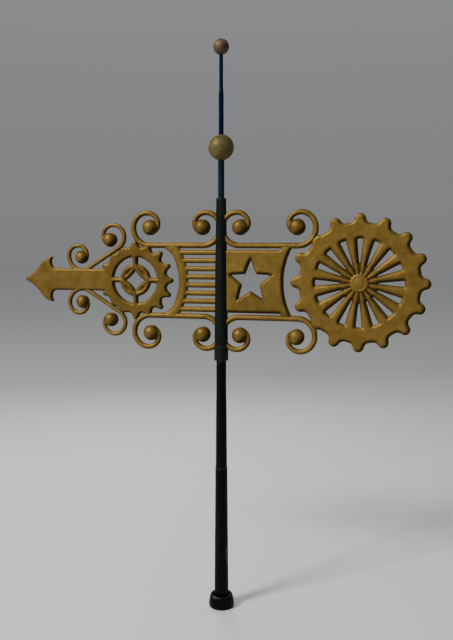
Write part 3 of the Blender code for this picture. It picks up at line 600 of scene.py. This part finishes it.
def add_tarnish_and_shade(piece, spots):
    """Darkens a piece round some places, below a depth, both as real tarnishing and as painted shade:
    (place, full radius, reach, amount, depth).
    """
    places = mesh_places(piece)
    attributes = piece.data.attributes
    mark = attributes.get("tarnish_and_shade") or attributes.new("tarnish_and_shade", "FLOAT", "POINT")
    dark = np.zeros(len(places))
    mark.data.foreach_get("value", dark)
    fade = 0.004
    for (x, z), full, reach, amount, depth in spots:
        away = np.linalg.norm(places - np.array((x, 0.0, z + VANE_HEIGHT)), axis=1)
        sunk = np.clip((depth - np.abs(places[:, 1])) / fade, 0.0, 1.0)
        dark = np.maximum(dark, amount * sunk * np.clip((reach - away) / (reach - full), 0.0, 1.0))
    mark.data.foreach_set("value", dark)


def under(ball):
    """The place low and along +x on a ball, darkened there as painted shade."""
    return (ball[0] + 0.014, ball[1] - 0.016)


def curl_ball(centre, path, tip_radius, ball_radius):
    """Where a ball sits so that it stands just proud of the end of its curl."""
    end = Vector(path[-1]) - Vector(centre)
    place = Vector(centre) + end.normalized() * (end.length + tip_radius + 0.001 - ball_radius)
    return (place[0], place[1])


def tapered(count, full, tip, curled):
    """Full size, then drawn down evenly over the curl to its tip."""
    sizes = [full + (tip - full) * max(0.0, (i - (count - 1 - curled)) / curled) for i in range(count)]
    sizes[-1] = tip * 0.65
    return sizes


def turned_over(path, hand, side):
    """A path on the other hand of the mast, or below the middle line."""
    return [(x * hand, z * side) for x, z in path]


INNER_REACH = 0.0787
CURL_HEIGHT = 0.2405
CURL_RADIUS = 0.0845
CURL_TIGHTEN = 0.017
CURL_BALL = 0.035
BAR_RADIUS, BAR_TIP, BAR_END = 0.0122, 0.0102, 0.0095
WHOLE_TURN, HIDDEN_TURN = 315.0, 100.0
FORGED_GRAIN = 0.0021
for end, hand, reach in (("arrow", 1, 0.331), ("wheel", -1, 0.339)):
    for level, side in (("upper", 1), ("lower", -1)):
        rise = curl((-INNER_REACH, CURL_HEIGHT), CURL_RADIUS, -QUARTER_TURN,
                    math.radians(60.0), CURL_TIGHTEN)
        scroll = curl((-reach, CURL_HEIGHT), CURL_RADIUS, -QUARTER_TURN,
                      -math.radians(WHOLE_TURN), CURL_TIGHTEN)
        bar_path = list(reversed(rise)) + scroll
        bar_radii = tapered(len(bar_path), BAR_RADIUS, BAR_TIP, len(scroll) - 1)
        ball_place = curl_ball((-reach, CURL_HEIGHT), bar_path, BAR_END, CURL_BALL)
        bar = drawn_bar("bar", turned_over(bar_path, hand, side), bar_radii)
        bar_ball = turned_over([ball_place], hand, side)[0]
        clear_of_spindle(bar)
        bar = joined(f"{level}_bar_to_{end}", [bar, add_ball(bar_ball, CURL_BALL)])
        fused(bar, FORGED_GRAIN, 4)
        # Each ball is tarnished a little all over; the dark patch low on its side is painted shade.
        add_tarnish_and_shade(bar, [(bar_ball, 0.033, 0.044, 0.16, 1.0), (under(bar_ball), 0.004, 0.032, 0.55, 1.0)])
        bar.data.materials.append(gilding)
        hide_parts(f"frame_bar_{level}_{end}")
        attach(bar, "vane")

# Inner curls: four curls with a ball, one on each side of the sleeve above and below, welded to it
# where a whole scroll would pass through.
for end, hand in (("arrow", 1), ("wheel", -1)):
    for level, side in (("upper", 1), ("lower", -1)):
        whole = curl((-INNER_REACH, CURL_HEIGHT), CURL_RADIUS, -QUARTER_TURN,
                     math.radians(WHOLE_TURN), CURL_TIGHTEN)
        shown = whole[round(len(whole) * HIDDEN_TURN / WHOLE_TURN):]
        ball_place = curl_ball((-INNER_REACH, CURL_HEIGHT), shown, BAR_END, CURL_BALL)
        loop = drawn_bar("loop", turned_over(shown, hand, side),
                         tapered(len(shown), 0.0121, BAR_TIP, len(shown) - 1))
        clear_of_spindle(loop)
        loop_ball = turned_over([ball_place], hand, side)[0]
        loop = joined(f"{level}_curl_to_{end}", [loop, add_ball(loop_ball, CURL_BALL)])
        fused(loop, FORGED_GRAIN, 4)
        # Each ball is tarnished a little all over; the dark patch low on its side is painted shade.
        add_tarnish_and_shade(loop, [(loop_ball, 0.033, 0.044, 0.26, 1.0), (under(loop_ball), 0.004, 0.032, 0.55, 1.0)])
        loop.data.materials.append(gilding)
        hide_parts(f"inner_curl_{level}_{end}")
        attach(loop, "vane")

# S-scrolls: two thinner bars, above and below the shaft, each with a ball at both ends. They are let
# into the shaft's edge, climb past the ring's low teeth and curl back outwards.
front_radius, front_turn, front_size = 0.0514, math.radians(297.0), 0.030
rear_radius, rear_turn, rear_size = 0.0578, math.radians(288.0), 0.032
s_radius, s_tip, s_end = 0.0094, 0.0086, 0.0075
climb = math.radians(32.0)
climb_along = Vector((math.cos(climb), math.sin(climb)))
climb_above = Vector((-climb_along[1], climb_along[0]))
rear_centre = Vector((-0.5051, 0.1950))
leaves_line = rear_centre - climb_above * rear_radius
front_centre = (-0.6724, 0.1095)
front = curl(front_centre, front_radius, -QUARTER_TURN, -front_turn, 0.0043)
let_in = []
for i, place in enumerate(front):
    quarters = front_turn * i / (len(front) - 1) / QUARTER_TURN
    stretch = 1.0 + 0.0141 * max(0.0, 1.0 - quarters) ** 2 / front_radius
    let_in.append((front_centre[0] + (place[0] - front_centre[0]) * stretch,
                   front_centre[1] + (place[1] - front_centre[1]) * stretch))
front = let_in
in_shaft = 0.0426
line_foot = leaves_line + climb_along * ((in_shaft - leaves_line[1]) / climb_along[1])
bend = [(front[0][0] + (line_foot[0] - front[0][0]) * 0.5, in_shaft - 0.0012)]
bend += [tuple(line_foot + (leaves_line - line_foot) * (i / 6)) for i in range(6)]
rear = curl(rear_centre, rear_radius, climb - QUARTER_TURN, rear_turn, 0.0054)
s_path = list(reversed(front)) + bend + rear
s_radii = (list(reversed(tapered(len(front), 0.0096, s_tip, len(front) - 1))) + [s_radius] * len(bend)
           + tapered(len(rear), s_radius, s_tip, len(rear) - 1))
front_ball = curl_ball(front_centre, front, s_end, front_size)
rear_ball = curl_ball(rear_centre, rear, s_end, rear_size)
for level, side in (("upper", 1), ("lower", -1)):
    s_bar = drawn_bar("s_bar", turned_over(s_path, 1, side), s_radii)
    s_balls = turned_over([front_ball, rear_ball], 1, side)
    s_scroll = joined(f"{level}_s_bar", [s_bar, add_ball(s_balls[0], front_size),
                                         add_ball(s_balls[1], rear_size)])
    fused(s_scroll, 0.0020, 3, 0.0009)
    # Both balls are tarnished a little all over; the dark patch low on each side is painted shade.
    add_tarnish_and_shade(s_scroll, [(s_balls[0], 0.028, 0.038, 0.16, 1.0), (s_balls[1], 0.030, 0.040, 0.20, 1.0),
                         (under(s_balls[0]), 0.004, 0.028, 0.55, 1.0),
                         (under(s_balls[1]), 0.004, 0.029, 0.55, 1.0)])
    s_scroll.data.materials.append(gilding)
    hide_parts(f"s_scroll_{level}")
    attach(s_scroll, "vane")


# Arrow: a flat cast plate with a barbed head and a broad shaft, welded to the toothed ring. Its
# edges are worn round, and the gilding is mottled over the whole face.
def bowed(start, end, bow, steps):
    """Places on an arc from start to end that bows to the left of the way there."""
    chord = Vector(end) - Vector(start)
    left = Vector((-chord[1], chord[0])).normalized()
    radius = (chord.length ** 2 / 4 + bow ** 2) / (2 * abs(bow))
    centre = (Vector(start) + Vector(end)) / 2 - left * math.copysign(radius - abs(bow), bow)
    first = math.atan2(start[1] - centre[1], start[0] - centre[0])
    turn = -math.copysign(2 * math.asin(chord.length / 2 / radius), bow)
    return [on_circle(centre, radius, first + turn * i / steps) for i in range(steps + 1)]


def cut_plate(name, outline, thickness):
    """A plate drawn corner by corner round its outline, filled, and given its thickness."""
    corners = [Vector((x, -thickness / 2, z + VANE_HEIGHT)) for x, z in outline]
    pick_nothing()
    bpy.ops.mesh.primitive_plane_add(size=0.001, location=corners[0])
    made = bpy.context.object
    made.name = name
    bpy.ops.object.transform_apply(location=True, rotation=True, scale=True)
    bpy.ops.object.mode_set(mode="EDIT")
    bpy.ops.mesh.select_all(action="SELECT")
    bpy.ops.mesh.merge(type="CENTER")
    for before, after in zip(corners, corners[1:]):
        bpy.ops.mesh.extrude_vertices_move(TRANSFORM_OT_translate={"value": after - before})
    bpy.ops.mesh.select_all(action="SELECT")
    bpy.ops.mesh.edge_face_add()
    bpy.ops.mesh.extrude_region_move(TRANSFORM_OT_translate={"value": (0.0, thickness, 0.0)})
    bpy.ops.mesh.select_all(action="SELECT")
    bpy.ops.mesh.normals_make_consistent(inside=False)
    bpy.ops.object.mode_set(mode="OBJECT")
    return made


def crowned(piece, half, reach, band):
    """Rounds a casting's two faces down to its outline, and paints shade along it: a thin dark line all
    round and a soft band on the edges that face down and along +x.
    """
    mesh = piece.data
    places = mesh_places(piece)
    mid_wall, on_edge, outline_shade_width, overlap = 0.0016, 0.0025, 0.004, 0.0012
    outline = places[np.abs(places[:, 1]) < mid_wall]
    near = KDTree(len(outline))
    for i, place in enumerate(outline):
        near.insert((place[0], 0.0, place[2]), i)
    near.balance()
    found = [near.find((place[0], 0.0, place[2])) for place in places]
    inward = np.array([distance for _, _, distance in found])
    outward = np.array([tuple(point) for point, _, _ in found]) - places
    normals = np.empty(places.size)
    mesh.vertices.foreach_get("normal", normals)
    outward = np.where(inward[:, None] < on_edge, normals.reshape(-1, 3), outward)
    outward /= np.hypot(outward[:, 0], outward[:, 2])[:, None] + 1e-9
    # Painted shade along the outline, widest on the lower edges and those along +x, away from the key
    # light.
    shade_side = np.clip(0.45 + 0.62 * outward[:, 0] - 0.55 * outward[:, 2], 0.0, 1.0)
    edge_shade = np.maximum(0.90 * shade_side * np.clip(1.9 * (1.0 - inward / band), 0.0, 1.0),
                      0.50 * np.clip(1.0 - inward / outline_shade_width, 0.0, 1.0))
    mesh.attributes.new("tarnish_and_shade", "FLOAT", "POINT").data.foreach_set("value", edge_shade)
    across = np.clip((inward + overlap) / reach, 0.0, 1.0)
    height = np.where(across < 1.0, half * np.sqrt(1.0 - (1.0 - across) ** 2), 1.0)
    places[:, 1] = np.clip(places[:, 1], -height, height)
    mesh.vertices.foreach_set("co", places.ravel())
    mesh.update()
    pick_nothing()
    bpy.context.view_layer.objects.active = piece
    piece.select_set(True)
    bpy.ops.object.modifier_add(type="SMOOTH")
    ease = piece.modifiers[-1]
    ease.factor = 0.5
    ease.iterations = 3
    bpy.ops.object.modifier_apply(modifier=ease.name)


RING_CENTRE = (-0.398, 0.0)
shaft_half, arrow_thick = 0.049, 0.0205
tip_x = RING_CENTRE[0] - 0.547
neck, barb, shaft_start = (tip_x + 0.075, 0.055), (tip_x + 0.145, 0.104), (tip_x + 0.152, shaft_half)
head = bowed((tip_x, 0.0), neck, -0.004, 6) + bowed(neck, barb, 0.011, 8)[1:]
head += bowed(barb, shaft_start, -0.014, 8)[1:]
arrow_upper = head + [(RING_CENTRE[0] - 0.118, shaft_half)]
arrow_outline = arrow_upper + [(x, -z) for x, z in reversed(arrow_upper[1:])]
arrow = fused(cut_plate("arrow_plate", arrow_outline, arrow_thick), 0.0022, 12, 0.0013, 0.0010)
crowned(arrow, 0.0110, 0.011, 0.010)
add_tarnish_and_shade(arrow, [((-0.75, 0.0), 0.40, 0.60, 0.22, 1.0)])
arrow.data.materials.append(gilding)
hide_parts("arrow")
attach(arrow, "vane")


# Toothed ring: a heavy cast ring with pointed teeth, low where the bars lie on it. Inside is an open
# knot of round straps, a circle laced with four bowed straps, all cast with the ring.
def round_band(name, centre, outer, inner, thickness, slope, sides=144):
    """A flat ring with sloping edges, drawn as a circle that is carried round its section."""
    pick_nothing()
    middle = Vector((centre[0], 0.0, centre[1] + VANE_HEIGHT))
    half, chamfer = thickness / 2, 0.007
    place = middle - Vector((0.0, half, 0.0))
    bpy.ops.mesh.primitive_circle_add(vertices=sides, radius=outer - chamfer, fill_type="NOTHING",
                                      location=place, rotation=(QUARTER_TURN, 0.0, 0.0))
    made = bpy.context.object
    made.name = name
    bpy.ops.object.transform_apply(location=True, rotation=True, scale=True)
    bpy.ops.object.mode_set(mode="EDIT")
    bpy.ops.mesh.select_all(action="SELECT")
    radius, depth = outer - chamfer, -half
    for wide, deep in ((outer + 0.001, -half + chamfer), (outer + 0.001, half - chamfer),
                       (outer - chamfer, half), (inner + slope, half), (inner, half - slope * 0.8),
                       (inner, -half + slope * 0.8), (inner + slope, -half), (outer - chamfer, -half)):
        bpy.ops.mesh.extrude_edges_move(TRANSFORM_OT_translate={"value": (0.0, deep - depth, 0.0)})
        share = wide / radius
        bpy.ops.transform.resize(value=(share, 1.0, share), center_override=middle)
        radius, depth = wide, deep
    bpy.ops.mesh.select_all(action="SELECT")
    bpy.ops.mesh.remove_doubles(threshold=0.00001)
    bpy.ops.mesh.normals_make_consistent(inside=False)
    bpy.ops.object.mode_set(mode="OBJECT")
    return made


def tooth(centre, root, height, half_width, shape, thickness, angle):
    """A tooth, drawn outwards from inside the band and then turned to its place."""
    middle = Vector((centre[0], 0.0, centre[1] + VANE_HEIGHT))
    sunk = root - 0.020
    pick_nothing()
    bpy.ops.mesh.primitive_plane_add(size=1.0, location=middle + Vector((sunk, 0.0, 0.0)),
                                     rotation=(0.0, QUARTER_TURN, 0.0))
    made = bpy.context.object
    bpy.ops.object.transform_apply(location=True, rotation=True, scale=True)
    bpy.ops.object.mode_set(mode="EDIT")
    bpy.ops.mesh.select_all(action="SELECT")
    bpy.ops.transform.resize(value=(1.0, thickness, 2 * half_width),
                             center_override=middle + Vector((sunk, 0.0, 0.0)))
    bpy.ops.mesh.bevel(offset=0.008, segments=3, affect="VERTICES")
    out, wide, deep = sunk, 1.0, 1.0
    for up, share, thin in shape:
        to = root + height * up
        bpy.ops.mesh.extrude_region_move(TRANSFORM_OT_translate={"value": (to - out, 0.0, 0.0)})
        bpy.ops.transform.resize(value=(1.0, thin / deep, share / wide),
                                 center_override=middle + Vector((to, 0.0, 0.0)))
        out, wide, deep = to, share, thin
    bpy.ops.mesh.select_all(action="SELECT")
    bpy.ops.mesh.normals_make_consistent(inside=False)
    bpy.ops.transform.rotate(value=angle, orient_axis="Y", center_override=middle)
    bpy.ops.object.mode_set(mode="OBJECT")
    return made


pointed = ((-0.08, 1.42, 1.0), (0.06, 1.10, 1.0), (0.24, 0.84, 1.0), (0.50, 0.64, 0.96),
           (0.80, 0.48, 0.84), (1.0, 0.30, 0.60))
RING_ROOT = 0.148
RING_INNER = 0.104
CAST_THICK = 0.0245
ring_parts = [round_band("ring_band", RING_CENTRE, RING_ROOT, RING_INNER, CAST_THICK, 0.008)]
for place in range(16):
    if place == 8:
        continue
    tall = 0.009 if place in (5, 6, 10, 11) else 0.021 if place in (7, 9) else 0.0295
    ring_parts.append(tooth(RING_CENTRE, RING_ROOT, tall, 0.0200, pointed, CAST_THICK,
                            place * math.pi / 8))
pick_nothing()
bpy.ops.mesh.primitive_torus_add(major_radius=0.062, minor_radius=0.0106,
                                 major_segments=64, minor_segments=20,
                                 location=(RING_CENTRE[0], 0.0, VANE_HEIGHT),
                                 rotation=(QUARTER_TURN, 0.0, 0.0))
bpy.ops.object.transform_apply(location=True, rotation=True, scale=True)
ring_parts.append(bpy.context.object)
knot_reach = RING_INNER + 0.009
knot_bow = knot_reach / math.sqrt(2) - 0.038
strap_radius = 0.0108
for quarter in range(4):
    strap_path = bowed(on_circle(RING_CENTRE, knot_reach, QUARTER_TURN * quarter),
                       on_circle(RING_CENTRE, knot_reach, QUARTER_TURN * (quarter + 1)), knot_bow, 24)
    strap = drawn_bar("strap", strap_path, [strap_radius] * len(strap_path))
    bpy.ops.object.mode_set(mode="EDIT")
    bpy.ops.mesh.select_all(action="SELECT")
    bpy.ops.transform.translate(value=(0.0, 0.003 if quarter % 2 else -0.003, 0.0))
    bpy.ops.object.mode_set(mode="OBJECT")
    ring_parts.append(strap)
toothed_ring = fused(joined("toothed_ring_casting", ring_parts), 0.0022, 7, 0.0013, 0.0009)
crowned(toothed_ring, 0.0128, 0.012, 0.013)
add_tarnish_and_shade(toothed_ring, [(RING_CENTRE, 0.17, 0.20, 0.33, 1.0)])
toothed_ring.data.materials.append(gilding)
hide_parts("toothed_ring")
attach(toothed_ring, "vane")

# Grille: a broad bowed post and eight level bars that run from it to the sleeve, forged together.
# The post spreads at both ends where it is welded to the frame bars.
post_x, post_end, post_cut = -0.2372, 0.170, 0.1570
post_path = bowed((post_x, -post_end), (post_x, post_end), -0.0652, 50)
flare = [1.0 + 0.30 * max(0.0, (abs(z) - 0.115) / 0.035) ** 2 for _, z in post_path]
post = drawn_bar("post", post_path, [0.0217 * f for f in flare], [0.0122] * len(flare), 24)
bpy.ops.object.mode_set(mode="EDIT")
for side in (-1, 1):
    bpy.ops.mesh.select_all(action="SELECT")
    bpy.ops.mesh.bisect(plane_co=(0.0, 0.0, VANE_HEIGHT + side * post_cut), plane_no=(0.0, 0.0, side),
                        use_fill=True, clear_outer=True)
bpy.ops.object.mode_set(mode="OBJECT")
grille_parts = [post]
bow_half, bow_deep, top_slat = 0.150, 0.049, 0.1252
bow_radius = (bow_half ** 2 + bow_deep ** 2) / (2 * bow_deep)
for row in range(8):
    z = top_slat * (2 * row / 7 - 1)
    start_x = -0.172 - bow_radius + math.sqrt(bow_radius ** 2 - z ** 2)
    count = 12
    slat_path = [(start_x + (-0.019 - start_x) * i / count, z) for i in range(count + 1)]
    grille_parts.append(drawn_bar("slat", slat_path, [0.0109] * (count + 1), [0.0095] * (count + 1), 20))
grille = joined("grille_bars", grille_parts)
clear_of_spindle(grille)
fused(grille, FORGED_GRAIN, 3, 0.0010)
grille.data.materials.append(gilding)
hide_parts("grille")
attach(grille, "vane")


# Star panel: a cast plate between the sleeve and a hollow bowed edge, joined to the frame bars by a
# link above and below. The star is cut through it, with a broad soft bevel round the opening.
def star_funnel(centre, tip, inner, depth_from, depth_to, spread):
    """A star-shaped tool that widens from one depth to another."""
    middle = Vector((centre[0], depth_from, centre[1] + VANE_HEIGHT))
    pick_nothing()
    bpy.ops.mesh.primitive_circle_add(vertices=10, radius=tip, fill_type="NGON", location=middle,
                                      rotation=(QUARTER_TURN, 0.0, 0.0))
    made = bpy.context.object
    bpy.ops.object.transform_apply(location=True, rotation=True, scale=True)
    bpy.ops.object.mode_set(mode="EDIT")
    bpy.ops.mesh.select_all(action="DESELECT")
    bpy.ops.mesh.select_mode(type="VERT")
    bpy.ops.object.mode_set(mode="OBJECT")
    for vertex in made.data.vertices:
        around = math.atan2(vertex.co.z - middle.z, vertex.co.x - middle.x)
        vertex.select = round((around - QUARTER_TURN) / (math.pi / 5)) % 2 == 1
    bpy.ops.object.mode_set(mode="EDIT")
    share = inner / tip
    bpy.ops.transform.resize(value=(share, 1.0, share), center_override=middle)
    bpy.ops.mesh.select_all(action="SELECT")
    bpy.ops.mesh.select_mode(type="FACE")
    bpy.ops.mesh.extrude_region_move(TRANSFORM_OT_translate={"value": (0.0, depth_to - depth_from, 0.0)})
    away = Vector((middle.x, depth_to, middle.z))
    bpy.ops.transform.resize(value=(spread, 1.0, spread), center_override=away)
    bpy.ops.mesh.select_all(action="SELECT")
    bpy.ops.mesh.normals_make_consistent(inside=False)
    bpy.ops.object.mode_set(mode="OBJECT")
    return made


star_centre, star_tip, star_inner = (0.132, 0.0), 0.0925, 0.0400
panel_edge = [(0.010, -0.1365), (0.2625, -0.1365), (0.2640, -0.1380), (0.2600, -0.1560)]
panel_edge += bowed((0.3150, -0.1560), (0.3150, 0.1560), 0.0405, 32)
panel_edge += [(0.2600, 0.1560), (0.2640, 0.1380), (0.2625, 0.1365), (0.010, 0.1365)]
panel = cut_plate("star_plate", panel_edge, 0.0210)
cut_away(panel, star_funnel(star_centre, star_tip, star_inner, -0.03, 0.03, 1.0))
for face_side in (-1.0, 1.0):
    cut_away(panel, star_funnel(star_centre, star_tip, star_inner, face_side * 0.0012,
                                face_side * 0.0205, 1.52))
clear_of_spindle(panel)
fused(panel, 0.0020, 6, 0.0013, 0.0006)
crowned(panel, 0.0110, 0.014, 0.018)
# Darker towards the lower edge, as painted shade.
add_tarnish_and_shade(panel, [((0.16, -0.19), 0.04, 0.24, 0.22, 1.0)])
panel.data.materials.append(gilding)
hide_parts("star_panel")
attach(panel, "vane")

# Wheel: one large casting, a toothed rim on sixteen ridged spokes that widen outwards from a low
# domed hub. Its teeth are rounded knobs, low where the two large curls touch it.
WHEEL_CENTRE = (0.59699, 0.0)
WHEEL_ROOT = 0.253
knobbed = ((-0.10, 1.70, 1.0), (0.0, 1.36, 1.0), (0.12, 1.12, 1.0), (0.28, 0.97, 1.0),
           (0.50, 0.88, 1.0), (0.70, 0.78, 0.97), (0.85, 0.62, 0.88), (0.95, 0.43, 0.72),
           (1.02, 0.20, 0.50))
wheel_parts = [round_band("wheel_rim", WHEEL_CENTRE, WHEEL_ROOT, 0.1865, CAST_THICK, 0.009)]
for place in range(16):
    tall = 0.015 if place in (6, 10) else 0.0370
    wheel_parts.append(tooth(WHEEL_CENTRE, WHEEL_ROOT, tall, 0.0255, knobbed, CAST_THICK,
                             place * math.pi / 8))
reach_out = [0.016, 0.033, 0.066, 0.110, 0.150, 0.189, 0.210]
half_wide = [0.0040, 0.0062, 0.0126, 0.0167, 0.0206, 0.0246, 0.0268]
half_deep = [0.0112, 0.0116, 0.0118, 0.0120, 0.0122, 0.0124, 0.0122]
spoke = drawn_bar("spoke", [(WHEEL_CENTRE[0] + out, 0.0) for out in reach_out], half_wide, half_deep, 12)
wheel_middle = Vector((WHEEL_CENTRE[0], 0.0, VANE_HEIGHT))
bpy.ops.object.mode_set(mode="EDIT")
bpy.ops.mesh.select_all(action="SELECT")
bpy.ops.transform.rotate(value=math.pi / 16, orient_axis="Y", center_override=wheel_middle)
for _ in range(15):
    bpy.ops.mesh.duplicate()
    bpy.ops.transform.rotate(value=math.pi / 8, orient_axis="Y", center_override=wheel_middle)
bpy.ops.object.mode_set(mode="OBJECT")
wheel_parts.append(spoke)
hub_steps, dome_radius = ((0.067, 0.010), (0.0370, 0.031)), 0.0385
for step_radius, step_depth in hub_steps:
    pick_nothing()
    bpy.ops.mesh.primitive_cylinder_add(vertices=48, radius=step_radius, depth=step_depth,
                                        location=wheel_middle, rotation=(QUARTER_TURN, 0.0, 0.0))
    bpy.ops.object.transform_apply(location=True, rotation=True, scale=True)
    wheel_parts.append(bpy.context.object)
hub = add_ball(WHEEL_CENTRE, dome_radius)
bpy.ops.object.mode_set(mode="EDIT")
bpy.ops.mesh.select_all(action="SELECT")
bpy.ops.transform.resize(value=(1.0, 0.50, 1.0), center_override=wheel_middle)
bpy.ops.object.mode_set(mode="OBJECT")
wheel_parts.append(hub)
wheel = fused(joined("wheel_casting", wheel_parts), 0.0026, 6, 0.0014, 0.0009)
crowned(wheel, 0.0130, 0.015, 0.018)
# Painted shade in the sunk spokes and hollows round the hub, below the face of the rim.
add_tarnish_and_shade(wheel, [(WHEEL_CENTRE, 0.058, 0.150, 0.85, 0.0125)])
wheel.data.materials.append(gilding)
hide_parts("wheel")
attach(wheel, "vane")
